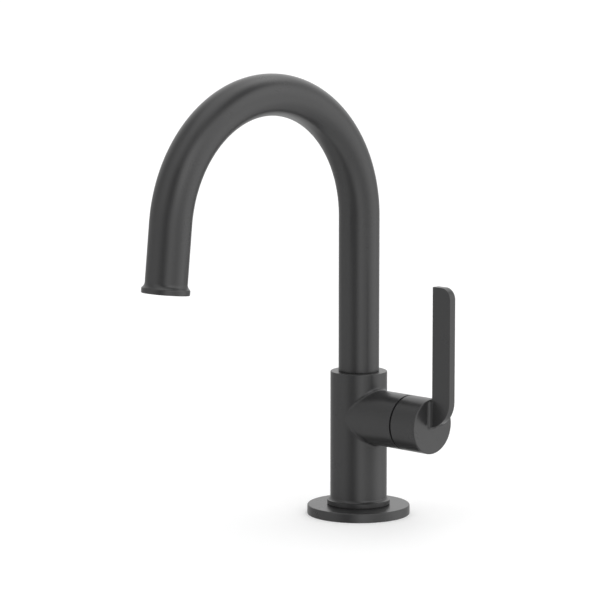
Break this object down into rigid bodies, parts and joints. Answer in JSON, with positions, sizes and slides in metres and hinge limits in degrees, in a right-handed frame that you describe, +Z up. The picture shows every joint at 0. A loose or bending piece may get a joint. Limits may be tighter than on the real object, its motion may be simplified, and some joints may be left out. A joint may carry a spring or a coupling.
{
  "type": "water filter faucet",
  "caption": "Deck-mounted water filter faucet: upright body on a round flange, side valve with an upright blade lever, and a swivelling gooseneck spout.",
  "frame": {"origin": "centre of the underside of the base flange, on the deck", "axes": "+Z up the axis of the body, +X along the valve towards the lever, the spout reaches towards -Y at rest"},
  "size_m": [0.1092, 0.2067, 0.2756],
  "materials": {
    "black_finish": "satin black coating",
    "brass": "machined",
    "steel": "bright",
    "rubber": "matte",
    "ceramic": "lapped ceramic",
    "white_plastic": "moulded",
    "black_plastic": "moulded"
  },
  "bodies": {
    "base": {"base_flange": "black_finish", "base_gasket": "rubber", "foot_seal": "rubber", "faucet_body": "black_finish", "spout_lock_screw": "steel", "seat_seal": "rubber", "valve_disc_fixed": "ceramic", "valve_housing": "brass", "housing_o_ring": "rubber", "valve_lock_nut": "brass", "trim_ring": "black_plastic"},
    "lever": {"valve_disc_moving": "ceramic", "spindle_glide_washer": "white_plastic", "valve_spindle": "brass", "spindle_o_rings": "rubber", "spindle_clip": "steel", "handle_adapter": "brass", "handle": "black_finish", "handle_set_screw": "steel"},
    "spout": {"spout_ferrule": "brass", "spout_o_rings": "rubber", "spout_glide_ring": "black_plastic", "spout_tube": "black_finish", "outlet_collar": "black_finish", "aerator_seal": "rubber", "aerator_housing": "black_plastic", "aerator_jet_disc": "white_plastic", "aerator_screen": "black_plastic"}
  },
  "joints": [
    {"name": "spout_swivel", "type": "hinge", "parent": "base", "child": "spout", "pos_m": [0, 0, 0.0892], "axis": [0, 0, 1], "continuous": true},
    {"name": "handle_turn", "type": "hinge", "parent": "base", "child": "lever", "pos_m": [0.0428, 0, 0.062], "axis": [1, 0, 0], "range_deg": [0, 90]}
  ]
}
